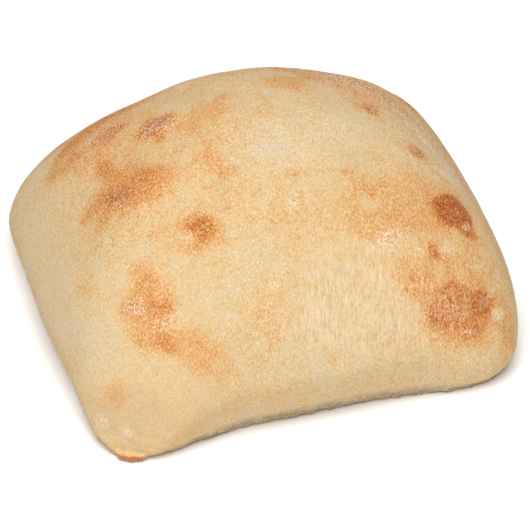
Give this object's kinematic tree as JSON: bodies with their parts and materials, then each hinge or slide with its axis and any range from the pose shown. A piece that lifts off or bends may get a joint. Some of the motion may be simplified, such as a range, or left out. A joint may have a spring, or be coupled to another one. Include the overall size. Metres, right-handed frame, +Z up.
{
  "type": "ciabatta roll",
  "caption": "Soft-cornered square bread roll with a low rounded dome, drawn-out corners and a flat base to rest on.",
  "frame": {"origin": "middle of the roll's outline on the base plane", "axes": "+X right along the front edge, the widest way; +Y back; +Z up out of the base"},
  "size_m": [0.102, 0.0924, 0.053],
  "materials": {
    "crust": "thin matt baked crust, pale gold with browned blisters and a dusting of flour"
  },
  "bodies": {
    "root": {"ciabatta_roll": "crust"}
  },
  "joints": []
}
